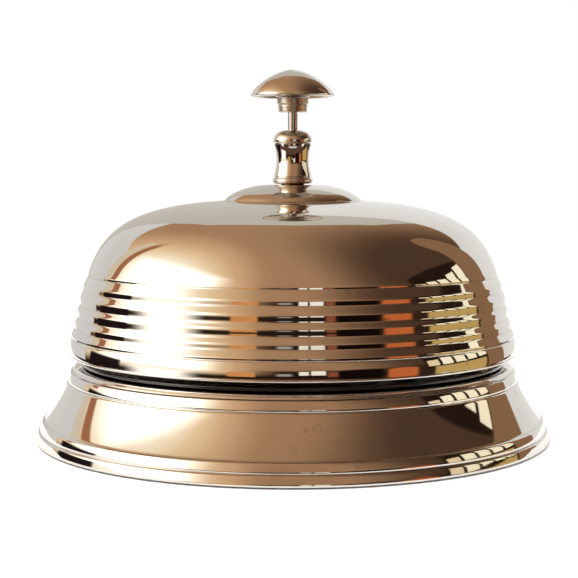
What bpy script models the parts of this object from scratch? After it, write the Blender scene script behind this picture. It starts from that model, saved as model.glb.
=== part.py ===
"""Spring-plunger service bell: a ribbed gong on a spun base, rung by a knob, a rod and a striker lever.

Lengths below are in millimetres and become metres in to_metres(). +Z is up. The origin is the middle
of the felt pad that the bell rests on, and the gong, the rod and the knob share the Z axis.
The striker swings in the XZ plane: its pivot pin lies along Y, and its hammer hangs on the +X side.
"""

from math import atan2, cos, hypot, pi, radians, sin

import bmesh
import bpy
from mathutils import Matrix, Vector

GAP = 0.3  # clearance between neighbouring pieces
ROUND = 40  # facets round the large turned shells
SMALL_ROUND = 16  # facets round the small turned pieces

# Base
BASE_RADIUS = 63.5
BASE_TOP = 18.4
BASE_WALL = 0.9
BASE_OPENING = 46.0
PAD_THICKNESS = 1.3
COVER_THICKNESS = 1.2
DECK_RADIUS = 52.4
DECK_THICKNESS = 1.0
DECK_BOTTOM = BASE_TOP + GAP
DECK_TOP = DECK_BOTTOM + DECK_THICKNESS
COVER_BOTTOM = PAD_THICKNESS + GAP
COVER_TOP = COVER_BOTTOM + COVER_THICKNESS
STANDOFF_CIRCLE = 34.0
STANDOFF_ANGLES = (60, 180, 300)

# Gong. Its profile heights are measured up from its lip
LIP_HEIGHT = 21.0
GONG_WALL = 0.9
RIB_FOOT = (54.85, 4.5)
RIB_HEAD = (50.45, 19.9)
RIB_STEPS = ((7.4, 0.45), (10.35, 0.8), (13.3, 0.8), (16.55, 0.45))  # middle and half height of each step
BOSS_FOOT = (18.0, 37.4)
BOSS_TOP = LIP_HEIGHT + 41.4
BOSS_TOP_RADIUS = 6.5

# Yoke, guide and stud
SHEET = 1.5
LEG_INNER = 8.25
LEG_OUTER = LEG_INNER + SHEET
FOOT_REACH = 19.5
YOKE_BOTTOM = DECK_TOP + GAP
YOKE_TOP = 54.6
YOKE_BACK = -5.0
YOKE_FRONT = 13.0
RIVET_X = (-1.0, 9.0)
RIVET_Y = 14.8
GUIDE_BOTTOM = 35.1
GUIDE_TOP = 37.1
STUD_RADIUS = 3.0
STUD_BOTTOM = 49.7
STUD_TOP = 70.3
NUT_RADIUS = 5.2
NUT_HEIGHT = 2.3
CLIP_THICKNESS = 0.6

# Plunger
ROD_RADIUS = 1.2
ROD_BORE = ROD_RADIUS + GAP
ROD_BOTTOM = 33.7
ROD_TOP = 86.8
SPRING_BOTTOM = GUIDE_TOP + GAP
SPRING_TOP = 47.4
SPRING_RADIUS = 3.1
SPRING_WIRE = 0.35
SPRING_TURNS = 6.5
FINIAL_BOTTOM = BOSS_TOP + GAP
FINIAL_TOP = FINIAL_BOTTOM + 13.2
KNOB_BOTTOM = 84.1
KNOB_TOP = 90.8
KNOB_RADIUS = 10.3
FERRULE_BOTTOM = 80.3

# Striker
PIVOT_X = 9.0
PIVOT_Z = 30.8
PIN_RADIUS = 1.5
HUB_RADIUS = 3.4
HUB_HALF_WIDTH = 5.0
NUB_RADIUS = 2.2
HAMMER_OFFSET = (36.5, -5.0)  # hammer centre from the pivot, along X and Z
HAMMER_RADIUS = 4.2
ARM_RADIUS = 1.0
SOCKET_RADIUS = 2.5
SOCKET_END = 13.0
BUFFER_X = 28.0

# Colour, roughness and metallic value of each finish
FINISHES = {
    "polished_nickel": ((0.78, 0.76, 0.72), 0.08, 1.0),
    "black_enamel": ((0.012, 0.012, 0.013), 0.22, 0.0),
    "zinc_steel": ((0.55, 0.56, 0.57), 0.35, 1.0),
    "bright_steel": ((0.62, 0.62, 0.61), 0.22, 1.0),
    "spring_steel": ((0.42, 0.42, 0.43), 0.30, 1.0),
    "brass": ((0.72, 0.53, 0.25), 0.28, 1.0),
    "red_fibre": ((0.32, 0.07, 0.04), 0.75, 0.0),
    "black_rubber": ((0.02, 0.02, 0.02), 0.80, 0.0),
    "green_felt": ((0.03, 0.11, 0.06), 0.95, 0.0),
}


def to_metres(point):
    return Vector(point) * 0.001


def clear_scene():
    for thing in list(bpy.data.objects):
        bpy.data.objects.remove(thing, do_unlink=True)


def finish(name):
    """The shared material of one finish, made the first time it is asked for."""
    made = bpy.data.materials.get(name)
    if made:
        return made
    colour, roughness, metallic = FINISHES[name]
    made = bpy.data.materials.new(name)
    made.use_nodes = True
    shader = made.node_tree.nodes["Principled BSDF"]
    shader.inputs["Base Color"].default_value = (*colour, 1.0)
    shader.inputs["Roughness"].default_value = roughness
    shader.inputs["Metallic"].default_value = metallic
    return made


def add_object(name, bm, finish_name, origin=(0, 0, 0), smooth_angle=35):
    """Turns a bmesh drawn in world millimetres into an object whose origin is where the joint needs it."""
    bmesh.ops.recalc_face_normals(bm, faces=bm.faces)
    bmesh.ops.transform(bm, matrix=Matrix.Scale(0.001, 4), verts=bm.verts)
    bmesh.ops.translate(bm, vec=-to_metres(origin), verts=bm.verts)
    mesh = bpy.data.meshes.new(name)
    bm.to_mesh(mesh)
    bm.free()
    mesh.shade_smooth()
    mesh.set_sharp_from_angle(angle=radians(smooth_angle))
    thing = bpy.data.objects.new(name, mesh)
    thing.location = to_metres(origin)
    bpy.context.scene.collection.objects.link(thing)
    if finish_name:
        mesh.materials.append(finish(finish_name))
    return thing


def bezier(points, steps):
    """Points along a Bezier curve of any degree, both ends included."""
    curve = []
    for step in range(steps + 1):
        t = step / steps
        row = [Vector(point) for point in points]
        while len(row) > 1:
            row = [a.lerp(b, t) for a, b in zip(row, row[1:])]
        curve.append(tuple(row[0]))
    return curve


def arc(centre, radius, start, end, steps):
    """Points along a circular arc in a profile, with its angles in degrees."""
    turns = [radians(start + (end - start) * step / steps) for step in range(steps + 1)]
    return [(centre[0] + radius * cos(turn), centre[1] + radius * sin(turn)) for turn in turns]


def turned_mesh(profile, segments, frame=None):
    """Turns a profile of (radius, height) about Z. It is a closed loop, or runs from axis to axis."""
    bm = bmesh.new()
    rings = []
    for radius, height in profile:
        if radius == 0:
            rings.append([height])
            continue
        angles = [2 * pi * step / segments for step in range(segments)]
        rings.append([bm.verts.new((radius * cos(a), radius * sin(a), height)) for a in angles])
    closed = len(rings[0]) > 1
    pairs = zip(rings, rings[1:] + rings[:1]) if closed else zip(rings, rings[1:])
    for low, high in pairs:
        if len(low) == 1 or len(high) == 1:
            close_on_axis(bm, *sorted((low, high), key=len))
            continue
        for step in range(segments):
            after = (step + 1) % segments
            bm.faces.new((low[step], low[after], high[after], high[step]))
    if frame:
        bmesh.ops.transform(bm, matrix=frame, verts=bm.verts)
    return bm


def close_on_axis(bm, axis, circle):
    """Closes a turned end: one flat face where the axis point is level with its ring, or else a cone."""
    if abs(circle[0].co.z - axis[0]) < 1e-6:
        bm.faces.new(circle)
        return
    tip = bm.verts.new((0, 0, axis[0]))
    for first, second in zip(circle, circle[1:] + circle[:1]):
        bm.faces.new((first, second, tip))


def turned(name, profile, finish_name, segments=SMALL_ROUND, origin=(0, 0, 0), frame=None):
    return add_object(name, turned_mesh(profile, segments, frame), finish_name, origin)


def lift(profile, height):
    return [(radius, z + height) for radius, z in profile]


def at(x, y):
    """A placement for a turned piece whose own axis stays upright."""
    return Matrix.Translation((x, y, 0))


def along(start, end):
    """A placement that lays a turned piece's own Z axis from one point towards another."""
    start = Vector(start)
    direction = Vector(end) - start
    return Matrix.Translation(start) @ direction.to_track_quat("Z", "Y").to_matrix().to_4x4()


def prism(name, outline, low, high, finish_name, axis="Z", origin=(0, 0, 0), frame=None):
    """Extrudes an outline along an axis: it is drawn in XY for Z, in XZ for Y and in YZ for X."""
    def place(u, v, w):
        return {"X": (w, u, v), "Y": (u, w, v), "Z": (u, v, w)}[axis]

    bm = bmesh.new()
    base = bm.faces.new([bm.verts.new(place(u, v, low)) for u, v in outline])
    grown = bmesh.ops.extrude_face_region(bm, geom=[base])["geom"]
    moved = [part for part in grown if isinstance(part, bmesh.types.BMVert)]
    bmesh.ops.translate(bm, vec=place(0, 0, high - low), verts=moved)
    if frame:
        bmesh.ops.transform(bm, matrix=frame, verts=bm.verts)
    return add_object(name, bm, finish_name, origin)


def box(name, low, high, finish_name=None, origin=(0, 0, 0)):
    outline = [(low[0], low[1]), (high[0], low[1]), (high[0], high[1]), (low[0], high[1])]
    return prism(name, outline, low[2], high[2], finish_name, origin=origin)


def rod(name, radius, start, end, finish_name=None, segments=SMALL_ROUND, origin=(0, 0, 0)):
    """A plain cylinder from one point to another."""
    length = (Vector(end) - Vector(start)).length
    profile = [(0, 0), (radius, 0), (radius, length), (0, length)]
    return turned(name, profile, finish_name, segments, origin, along(start, end))


def ring(inner, outer, low, high):
    """The profile of a plain washer or collar."""
    return [(inner, low), (outer, low), (outer, high), (inner, high)]


def combine(target, tool, operation):
    """Joins, cuts or intersects with another object, which stays in the file as a wire guide."""
    tool.hide_render = True
    tool.display_type = "WIRE"
    change = target.modifiers.new(tool.name, "BOOLEAN")
    change.operation = operation
    change.solver = "EXACT"
    change.object = tool


def cut_round(target, name, radius, start, end):
    combine(target, rod(name, radius, start, end), "DIFFERENCE")


# Base ------------------------------------------------------------------------------------------


def skirt_outside():
    """The base's outline from its bottom edge up: two leaning bands, the flare, a band and the top band."""
    foot = arc((BASE_RADIUS - 0.45, GAP + 0.45), 0.45, -90, 0, 3)
    lower_band = [(63.1, 2.45), (62.95, 2.72), (62.66, 2.83), (62.56, 3.1)]
    upper_band = [(62.5, 3.8), (62.1, 4.95), (61.9, 5.2), (61.6, 5.32)]
    flare = bezier([(61.15, 5.75), (58.3, 9.4), (56.0, 14.3)], 7)
    groove = [(55.6, 14.66), (55.68, 15.0)]
    top_bands = [(55.14, 16.9), (54.95, 17.16), (54.5, 17.3), (54.0, 18.0), (53.6, BASE_TOP)]
    return foot + lower_band + upper_band + flare + groove + top_bands


def base_skirt():
    top_under = BASE_TOP - BASE_WALL
    inside = [(52.6, top_under)] + bezier([(54.5, 14.2), (57.3, 9.0), (60.1, 4.8)], 5)
    inside += [(61.6, 2.6), (62.1, GAP)]
    outline = skirt_outside() + [(BASE_OPENING, BASE_TOP), (BASE_OPENING, top_under)] + inside
    turned("base_skirt", outline, "polished_nickel", ROUND)


def deck_plate():
    edge = arc((DECK_RADIUS - 0.5, DECK_BOTTOM + 0.5), 0.5, -90, 90, 4)
    plate = turned("deck_plate", [(0, DECK_BOTTOM)] + edge + [(0, DECK_TOP)], "black_enamel", ROUND)
    for number, (x, y) in enumerate(rivet_places(), 1):
        cut_round(plate, f"cut_deck_rivet_{number}", 1.7, (x, y, DECK_BOTTOM - 1), (x, y, DECK_TOP + 1))
    for number, (x, y) in enumerate(standoff_places(), 1):
        cut_round(plate, f"cut_deck_standoff_{number}", 2.1, (x, y, DECK_BOTTOM - 1), (x, y, DECK_TOP + 1))
    cut_round(plate, "cut_deck_buffer", 1.5, (BUFFER_X, 0, DECK_BOTTOM - 1), (BUFFER_X, 0, DECK_TOP + 1))


def rivet_places():
    return [(x, y) for x in RIVET_X for y in (-RIVET_Y, RIVET_Y)]


def standoff_places():
    angles = [radians(angle) for angle in STANDOFF_ANGLES]
    return [(STANDOFF_CIRCLE * cos(angle), STANDOFF_CIRCLE * sin(angle)) for angle in angles]


def bottom_cover():
    radius = 60.8
    rim = arc((radius - 0.3, COVER_BOTTOM + 0.3), 0.3, -90, 0, 2) + [(radius, COVER_TOP)]
    cover = turned("bottom_cover", [(0, COVER_BOTTOM)] + rim + [(0, COVER_TOP)], "zinc_steel", ROUND)
    for number, (x, y) in enumerate(standoff_places(), 1):
        sink = [(0, COVER_BOTTOM - 0.5), (4.8, COVER_BOTTOM - 0.5), (1.75, COVER_TOP - 0.1)]
        sink += [(1.75, COVER_TOP + 1), (0, COVER_TOP + 1)]
        tool = turned(f"cut_cover_sink_{number}", sink, None, frame=at(x, y))
        combine(cover, tool, "DIFFERENCE")


def foot_pad():
    radius = 59.5
    edge = arc((radius - 0.4, 0.4), 0.4, -90, 0, 2) + arc((radius - 0.4, PAD_THICKNESS - 0.4), 0.4, 0, 90, 2)
    turned("foot_pad", [(0, 0)] + edge + [(0, PAD_THICKNESS)], "green_felt", ROUND)


def standoffs():
    """Threaded pillars, peened into the deck, that the cover screws pull on."""
    low = COVER_TOP + GAP
    shoulder = DECK_BOTTOM - GAP
    peen = DECK_TOP + GAP
    for number, (x, y) in enumerate(standoff_places(), 1):
        bore = [(0, low + 8.5), (1.6, low + 8.0), (1.6, low)]
        outside = [(3.5, low), (3.5, shoulder), (1.8, shoulder), (1.8, peen)]
        outside += [(1.3, peen + 0.4), (0, peen + 0.4)]
        turned(f"standoff_{number}", bore + outside, "zinc_steel", frame=at(x, y))


def cover_screws():
    for number, (x, y) in enumerate(standoff_places(), 1):
        low = COVER_BOTTOM
        outline = [(0, low + 0.1), (3.2, low + 0.1), (1.3, COVER_TOP - 0.1)]
        outline += [(1.3, COVER_TOP + 7.4), (0, COVER_TOP + 7.8)]
        screw = turned(f"cover_screw_{number}", outline, "zinc_steel", frame=at(x, y))
        half = 0.35
        slot = box(f"cut_screw_slot_{number}", (x - 4, y - half, low - 1), (x + 4, y + half, low + 0.55))
        combine(screw, slot, "DIFFERENCE")


# Gong ------------------------------------------------------------------------------------------


def rib_wall():
    """The ribbed wall from its foot to its head: leaning faces parted by upright steps."""
    fall = RIB_HEAD[1] - RIB_FOOT[1] - 2 * sum(half for _, half in RIB_STEPS)
    lean = (RIB_FOOT[0] - RIB_HEAD[0]) / fall
    points = [RIB_FOOT]
    for middle, half in RIB_STEPS:
        radius, height = points[-1]
        radius -= lean * (middle - half - height)
        points += [(radius, middle - half), (radius, middle + half)]
    return points


def gong_outside():
    """The gong's outline from its lip up to the hole in its boss."""
    lip = arc((54.98, 0.36), 0.36, -120, 40, 3)
    bead = arc((44.35, 0.95), 11.0, -1, 17, 4)
    crown = bezier([RIB_HEAD, (46.8, 31.5), (38.0, 36.2), BOSS_FOOT], 8)
    boss = bezier([(16.9, 37.5), (15.2, 39.6), (10.8, 41.2), (BOSS_TOP_RADIUS, 41.4)], 6)
    return lip + bead + rib_wall() + crown + boss


def gong():
    bore = STUD_RADIUS + GAP
    inner_top = BOSS_TOP - LIP_HEIGHT - GONG_WALL
    boss = [(bore, inner_top), (7.4, inner_top), (11.0, 40.1), (14.2, 38.5), (15.7, 37.0), (17.6, 36.5)]
    crown = bezier([(17.6, 36.5), (37.4, 35.4), (45.9, 31.2), (49.5, RIB_HEAD[1] - 0.2)], 6)
    wall = [(53.6, RIB_FOOT[1]), (54.2, 2.4), (54.3, 0.5)]
    outline = gong_outside() + [(bore, BOSS_TOP - LIP_HEIGHT)] + boss + crown[1:] + wall
    turned("gong", lift(outline, LIP_HEIGHT), "polished_nickel", ROUND)


# Frame that holds the gong and guides the rod -----------------------------------------------------


def yoke_frame():
    """A strap bent into an arch with two feet. Its legs widen low down to carry the pivot pin."""
    strap = [(FOOT_REACH, YOKE_BOTTOM), (FOOT_REACH, YOKE_BOTTOM + SHEET)]
    strap += arc((LEG_OUTER + 1.0, YOKE_BOTTOM + SHEET + 1.0), 1.0, 270, 180, 3)
    strap += arc((LEG_OUTER - 2.5, YOKE_TOP - 2.5), 2.5, 0, 90, 4)
    under = arc((LEG_INNER - 1.0, YOKE_TOP - SHEET - 1.0), 1.0, 90, 0, 3)
    under += arc((LEG_INNER + 2.5, YOKE_BOTTOM + 2.5), 2.5, 180, 270, 4)
    outer = strap + [(-y, z) for y, z in reversed(strap)]
    inner = [(-y, z) for y, z in reversed(under)] + under
    yoke = prism("yoke_frame", outer + inner, YOKE_BACK, YOKE_FRONT, "zinc_steel", axis="X")

    side = [(YOKE_BACK, YOKE_BOTTOM - 1), (YOKE_FRONT, YOKE_BOTTOM - 1)]
    side += arc((YOKE_FRONT - 3, PIVOT_Z), 3.0, 0, 60, 3)
    side += [(-YOKE_BACK, PIVOT_Z + 9.0), (-YOKE_BACK, YOKE_TOP + 1), (YOKE_BACK, YOKE_TOP + 1)]
    wide = FOOT_REACH + 1
    combine(yoke, prism("yoke_side_outline", side, -wide, wide, None, axis="Y"), "INTERSECT")

    stud_hole = STUD_RADIUS + GAP
    cut_round(yoke, "cut_yoke_stud", stud_hole, (0, 0, YOKE_TOP - SHEET - 1), (0, 0, YOKE_TOP + 1))
    reach = LEG_OUTER + 1
    cut_round(yoke, "cut_yoke_pin", PIN_RADIUS + GAP, (PIVOT_X, -reach, PIVOT_Z), (PIVOT_X, reach, PIVOT_Z))
    low = (-2.3, -reach, GUIDE_BOTTOM - GAP)
    combine(yoke, box("cut_yoke_guide", low, (2.3, reach, GUIDE_TOP + GAP)), "DIFFERENCE")
    for number, (x, y) in enumerate(rivet_places(), 1):
        top = YOKE_BOTTOM + SHEET + 1
        cut_round(yoke, f"cut_yoke_rivet_{number}", 1.7, (x, y, YOKE_BOTTOM - 1), (x, y, top))


def yoke_rivets():
    head_low = YOKE_BOTTOM + SHEET + GAP
    tail_top = DECK_BOTTOM - GAP
    outline = lift([(0, -1.0), (2.2, -1.0), (2.6, -0.5), (2.6, 0), (1.4, 0)], tail_top) + [(1.4, head_low)]
    outline += lift([(2.7, 0), (2.5, 0.57), (1.9, 1.05), (1.0, 1.37), (0, 1.48)], head_low)
    for number, (x, y) in enumerate(rivet_places(), 1):
        turned(f"yoke_rivet_{number}", outline, "bright_steel", 12, frame=at(x, y))


def lower_guide():
    """A cross bar that the rod runs through. Its tenons pass through slots in the yoke's legs."""
    wide, narrow, shoulder, tip = 4.0, 2.0, LEG_INNER - GAP, LEG_OUTER + 0.2
    quarter = [(wide, 0), (wide, shoulder), (narrow, shoulder), (narrow, tip)]
    right = [(x, -y) for x, y in reversed(quarter[1:])] + quarter[1:]
    outline = right + [(-x, -y) for x, y in right]
    guide = prism("lower_guide", outline, GUIDE_BOTTOM, GUIDE_TOP, "zinc_steel")
    cut_round(guide, "cut_guide_bore", ROD_BORE, (0, 0, GUIDE_BOTTOM - 1), (0, 0, GUIDE_TOP + 1))


def stud_tube():
    chamfered = STUD_RADIUS - 0.5
    outline = [(ROD_BORE, STUD_BOTTOM), (chamfered, STUD_BOTTOM), (STUD_RADIUS, STUD_BOTTOM + 0.5)]
    outline += [(STUD_RADIUS, STUD_TOP - 0.5), (chamfered, STUD_TOP), (ROD_BORE, STUD_TOP)]
    turned("stud_tube", outline, "brass", 20)


def hexagon_nut(name, low):
    corners = [(NUT_RADIUS * cos(turn * pi / 3), NUT_RADIUS * sin(turn * pi / 3)) for turn in range(6)]
    nut = prism(name, corners, low, low + NUT_HEIGHT, "brass")
    high = low + NUT_HEIGHT
    bevel = [(0, low), (NUT_RADIUS - 0.6, low), (NUT_RADIUS + 0.1, low + 0.4), (NUT_RADIUS + 0.1, high - 0.4)]
    bevel += [(NUT_RADIUS - 0.6, high), (0, high)]
    combine(nut, turned(f"{name}_corner_turning", bevel, None, 24), "INTERSECT")
    cut_round(nut, f"cut_{name}", STUD_RADIUS + GAP, (0, 0, low - 1), (0, 0, low + NUT_HEIGHT + 1))


def gong_seat():
    """The stack that carries the gong: a nut on each side of the yoke, a collar and a fibre washer."""
    hexagon_nut("stud_lower_nut", YOKE_TOP - SHEET - GAP - NUT_HEIGHT)
    upper = YOKE_TOP + GAP
    hexagon_nut("stud_upper_nut", upper)
    bore = STUD_RADIUS + GAP
    collar_low = upper + NUT_HEIGHT + GAP
    washer_low = 60.2
    collar = [(bore, collar_low), (4.9, collar_low), (4.9, washer_low - GAP - 0.6), (5.8, washer_low - GAP)]
    turned("gong_collar", collar + [(bore, washer_low - GAP)], "brass")
    turned("seat_washer", ring(bore, 6.4, washer_low, BOSS_TOP - GONG_WALL - GAP), "red_fibre")


def finial():
    """The turned nut that clamps the gong: a bead, a waisted neck and a domed cap with the rod's hole."""
    bead = arc((4.2, 0.75), 0.75, -75, 60, 4)
    neck = [(4.5, 1.75)] + bezier([(4.6, 2.0), (3.6, 4.6), (3.75, 7.4), (4.55, 9.7)], 6)
    cap = [(4.75, 10.0), (4.85, 10.7)] + bezier([(4.8, 11.4), (4.3, 12.8), (2.0, 13.2)], 3)
    bore = STUD_RADIUS + GAP
    step = STUD_TOP + 0.5
    inside = [(ROD_BORE, FINIAL_TOP), (ROD_BORE, step), (bore, step), (bore, FINIAL_BOTTOM)]
    turned("finial", lift(bead + neck + cap, FINIAL_BOTTOM) + inside, "polished_nickel", 20)


# Plunger -----------------------------------------------------------------------------------------


def plunger_rod():
    tip = arc((ROD_RADIUS - 0.6, ROD_BOTTOM + 0.6), 0.6, -90, 0, 2)
    top = [(ROD_RADIUS, ROD_TOP - 0.3), (ROD_RADIUS - 0.3, ROD_TOP), (0, ROD_TOP)]
    outline = [(0, ROD_BOTTOM)] + tip + top
    turned("plunger_rod", outline, "bright_steel", 16)


def knob():
    """A mushroom cap with a thin rolled rim, a hollow underside and a hub that takes the rod."""
    hub = 4.4
    height = KNOB_TOP - KNOB_BOTTOM
    socket = ROD_TOP + GAP - KNOB_BOTTOM
    bore = [(0, socket), (ROD_BORE, socket), (ROD_BORE, 0)]
    hollow = [(hub, 0), (hub, 1.6), (9.0, 0.7), (9.7, 0), (10.1, 0)]
    dome = bezier([(KNOB_RADIUS, 0.35), (10.0, 2.0), (5.0, height - 0.5), (0, height)], 9)
    turned("knob", lift(bore + hollow + dome, KNOB_BOTTOM), "polished_nickel", 28)


def knob_ferrule():
    height = KNOB_BOTTOM - GAP - FERRULE_BOTTOM
    outline = [(ROD_BORE, 0), (3.3, 0), (3.5, 0.25), (3.6, 1.8), (3.85, 2.05)]
    outline += [(3.9, height), (ROD_BORE, height)]
    turned("knob_ferrule", lift(outline, FERRULE_BOTTOM), "polished_nickel", 20)


def clip(name, bore, radius, low, frame):
    """A flat retaining ring with an open mouth."""
    mouth = 35
    outer = arc((0, 0), radius, mouth, 360 - mouth, 14)
    inner = arc((0, 0), bore, 360 - mouth, mouth, 14)
    prism(name, outer + inner, low, low + CLIP_THICKNESS, "spring_steel", frame=frame)


def spring_cup():
    flange = SPRING_TOP + GAP
    outline = [(ROD_BORE, -1.5), (2.2, -1.5), (2.2, 0), (4.2, 0), (4.2, 0.8), (ROD_BORE, 0.8)]
    turned("spring_cup", lift(outline, flange), "brass")


def return_spring():
    """A coil of round wire: six-sided rings of points along a helix, with flat ends."""
    sides = 6
    steps = 12
    low = SPRING_BOTTOM + SPRING_WIRE
    rise = SPRING_TOP - SPRING_WIRE - low
    bm = bmesh.new()
    rings = []
    for step in range(int(SPRING_TURNS * steps) + 1):
        share = step / (SPRING_TURNS * steps)
        turn = 2 * pi * SPRING_TURNS * share
        out = Vector((cos(turn), sin(turn), 0))
        centre = out * SPRING_RADIUS + Vector((0, 0, low + rise * share))
        ring_points = []
        for side in range(sides):
            around = 2 * pi * side / sides
            offset = out * cos(around) + Vector((0, 0, sin(around)))
            ring_points.append(bm.verts.new(centre + offset * SPRING_WIRE))
        rings.append(ring_points)
    for first, second in zip(rings, rings[1:]):
        for side in range(sides):
            after = (side + 1) % sides
            bm.faces.new((first[side], first[after], second[after], second[side]))
    bm.faces.new(rings[0])
    bm.faces.new(rings[-1])
    add_object("return_spring", bm, "spring_steel", smooth_angle=80)


# Striker -----------------------------------------------------------------------------------------


def on_arm(distance, above=0.0):
    """A point on the hammer arm's line, or above it at right angles, at a distance from the pivot."""
    x, z = HAMMER_OFFSET
    length = hypot(x, z)
    along_x, along_z = x / length, z / length
    return (PIVOT_X + distance * along_x - above * along_z, 0, PIVOT_Z + distance * along_z + above * along_x)


def striker_lever(pivot):
    """Hub, pressing finger with a rounded nub under the rod, and a socket for the hammer's arm."""
    half = HUB_HALF_WIDTH
    start, end = (PIVOT_X, -half, PIVOT_Z), (PIVOT_X, half, PIVOT_Z)
    lever = rod("striker_lever", HUB_RADIUS, start, end, "bright_steel", 24, pivot)
    nub_z = ROD_BOTTOM - GAP - NUB_RADIUS
    finger = [(-1.4, nub_z - 1.4), (PIVOT_X, PIVOT_Z - 2.2), (PIVOT_X, PIVOT_Z + 2.6), (-0.6, nub_z + 1.4)]
    combine(lever, prism("lever_finger", finger, -2.6, 2.6, None, axis="Y"), "UNION")
    combine(lever, rod("lever_nub", NUB_RADIUS, (0, -3, nub_z), (0, 3, nub_z)), "UNION")
    combine(lever, rod("lever_socket", SOCKET_RADIUS, on_arm(1.0), on_arm(SOCKET_END)), "UNION")
    reach = half + 1
    cut_round(lever, "cut_lever_pin", PIN_RADIUS + GAP, (PIVOT_X, -reach, PIVOT_Z), (PIVOT_X, reach, PIVOT_Z))
    cut_round(lever, "cut_lever_arm", ARM_RADIUS + GAP, on_arm(HUB_RADIUS + 0.7), on_arm(SOCKET_END + 1))
    cut_round(lever, "cut_lever_set_screw", 1.1, on_arm(9.5), on_arm(9.5, SOCKET_RADIUS + 1))


def hammer(pivot):
    """The sprung arm, its set screw and the ball that strikes the gong."""
    reach = hypot(*HAMMER_OFFSET)
    rod("hammer_arm", ARM_RADIUS, on_arm(HUB_RADIUS + 1.0), on_arm(reach + 1.0), "spring_steel", 12, pivot)
    low, high = ARM_RADIUS + GAP, SOCKET_RADIUS + 0.7
    rod("arm_set_screw", 0.8, on_arm(9.5, low), on_arm(9.5, high), "bright_steel", 12, pivot)
    ball = arc((0, 0), HAMMER_RADIUS, 90, -60, 8)
    ball = [(0, HAMMER_RADIUS)] + ball[1:]
    bore = ARM_RADIUS + GAP
    flat = -HAMMER_RADIUS * sin(radians(60))
    inside = [(bore, flat), (bore, 1.3), (0, 1.3)]
    turned("hammer_head", ball + inside, "brass", 20, pivot, along(on_arm(reach), on_arm(reach + 1)))


def pivot_pin():
    """The headed pin that the lever turns on, grooved for its clip, with a spacer on each side."""
    head_low, head = -LEG_OUTER - GAP - 1.2, -LEG_OUTER - GAP
    groove = LEG_OUTER + GAP
    tip = groove + 1.9
    outline = [(0, head_low), (2.2, head_low), (2.6, head_low + 0.4), (2.6, head), (PIN_RADIUS, head)]
    outline += [(PIN_RADIUS, groove), (1.0, groove), (1.0, groove + 1.0), (PIN_RADIUS, groove + 1.0)]
    outline += [(PIN_RADIUS, tip - 0.3), (PIN_RADIUS - 0.3, tip), (0, tip)]
    frame = along((PIVOT_X, 0, PIVOT_Z), (PIVOT_X, 1, PIVOT_Z))
    turned("pivot_pin", outline, "bright_steel", 16, frame=frame)
    clip("pivot_clip", 1.0 + GAP, 2.7, groove + 0.2, frame)
    inner, outer = HUB_HALF_WIDTH + GAP, LEG_INNER - GAP
    washer = ring(PIN_RADIUS + GAP, 2.9, inner, outer)
    turned("pivot_spacer_back", washer, "brass", frame=frame)
    front = [(radius, -height) for radius, height in washer]
    turned("pivot_spacer_front", front, "brass", frame=frame)


def rest_buffer():
    """A rubber post pushed through the deck, which the hammer's arm comes to rest on."""
    foot = YOKE_BOTTOM
    tail = DECK_BOTTOM - GAP
    distance = (BUFFER_X - PIVOT_X) / HAMMER_OFFSET[0] * hypot(*HAMMER_OFFSET)
    top = on_arm(distance)[2] - ARM_RADIUS - 2 * GAP
    outline = [(0, tail - 1.2), (1.6, tail - 1.2), (2.2, tail), (1.2, tail), (1.2, foot), (3.4, foot)]
    outline += [(3.0, top - 0.8), (2.4, top), (0, top)]
    turned("rest_buffer", outline, "black_rubber", frame=at(BUFFER_X, 0))


def build():
    clear_scene()
    base_skirt()
    deck_plate()
    bottom_cover()
    foot_pad()
    standoffs()
    cover_screws()
    gong()
    yoke_frame()
    yoke_rivets()
    lower_guide()
    stud_tube()
    gong_seat()
    finial()
    plunger_rod()
    knob()
    knob_ferrule()
    clip("retaining_clip", ROD_BORE, 2.9, STUD_BOTTOM - GAP - CLIP_THICKNESS, at(0, 0))
    spring_cup()
    return_spring()
    pivot = (PIVOT_X, 0, PIVOT_Z)
    striker_lever(pivot)
    hammer(pivot)
    pivot_pin()
    rest_buffer()


build()
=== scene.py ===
"""Looks for the service bell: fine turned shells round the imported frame, with finishes, light and camera.

Profiles are written in millimetres as (radius, height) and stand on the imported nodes' own boxes.
"""

from itertools import count
from math import atan2, cos, hypot, pi, radians, sin, tan

import bmesh
import bpy
import numpy as np
from mathutils import Matrix, Vector, noise


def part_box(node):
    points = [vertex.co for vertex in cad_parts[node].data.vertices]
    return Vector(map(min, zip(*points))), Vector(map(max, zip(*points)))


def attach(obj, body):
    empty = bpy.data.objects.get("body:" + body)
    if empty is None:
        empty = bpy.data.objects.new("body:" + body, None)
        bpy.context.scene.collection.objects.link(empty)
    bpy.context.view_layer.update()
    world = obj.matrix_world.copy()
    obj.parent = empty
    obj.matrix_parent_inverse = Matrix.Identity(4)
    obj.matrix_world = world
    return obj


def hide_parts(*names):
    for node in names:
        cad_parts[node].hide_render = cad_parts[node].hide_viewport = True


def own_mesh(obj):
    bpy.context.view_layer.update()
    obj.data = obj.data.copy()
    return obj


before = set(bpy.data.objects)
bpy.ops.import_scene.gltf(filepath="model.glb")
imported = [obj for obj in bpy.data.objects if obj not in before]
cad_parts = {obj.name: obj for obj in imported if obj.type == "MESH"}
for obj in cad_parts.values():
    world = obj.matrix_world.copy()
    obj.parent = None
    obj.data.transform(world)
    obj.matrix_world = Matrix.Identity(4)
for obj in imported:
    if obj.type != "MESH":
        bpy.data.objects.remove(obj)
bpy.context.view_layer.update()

MM = 0.001
FINE = 240  # facets round the big shells
MEDIUM = 144  # facets round the stem and the knob
SMALL = 48  # facets round the rod and the stud


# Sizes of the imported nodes, in millimetres ---------------------------------------------------------


def low_of(node):
    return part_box(node)[0].z / MM


def high_of(node):
    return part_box(node)[1].z / MM


def radius_of(node):
    low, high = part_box(node)
    return (high.x - low.x) / 2 / MM


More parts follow.
